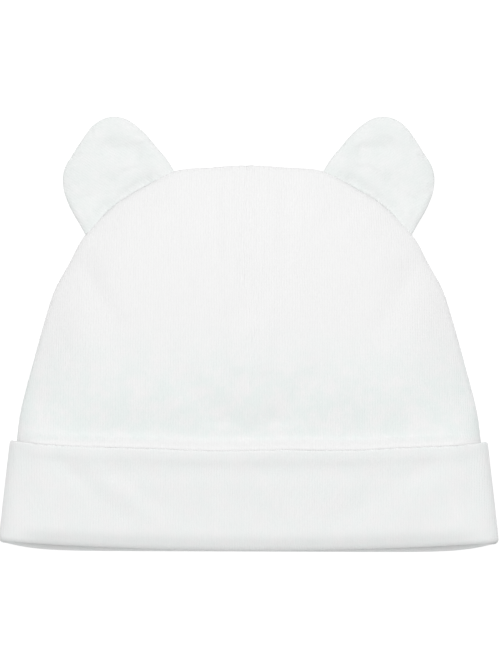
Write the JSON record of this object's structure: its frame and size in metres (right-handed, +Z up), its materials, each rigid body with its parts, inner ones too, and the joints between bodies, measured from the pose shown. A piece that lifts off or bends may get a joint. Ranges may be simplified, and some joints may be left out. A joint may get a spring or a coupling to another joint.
{
  "type": "baby hat with ears",
  "caption": "Soft white jersey baby hat with a domed crown, a centre dart, two rounded bear ears and a turned-up double cuff, lying flat with its front up.",
  "frame": {"origin": "on the table under the middle of the hat as it lies on its back", "axes": "+X to the right of the front view, +Y from the rim towards the crown's top and the ears, +Z up out of the hat's front"},
  "size_m": [0.1697, 0.1486, 0.0204],
  "materials": {
    "crown_jersey": "matt brushed cotton interlock, fine vertical wales",
    "cuff_jersey": "matt brushed cotton interlock, folded double",
    "ear_jersey": "matt brushed cotton interlock, slightly diagonal wales"
  },
  "bodies": {
    "root": {"crown_front": "crown_jersey", "crown_back": "crown_jersey", "cuff": "cuff_jersey", "ear_left": "ear_jersey", "ear_right": "ear_jersey"}
  },
  "joints": []
}
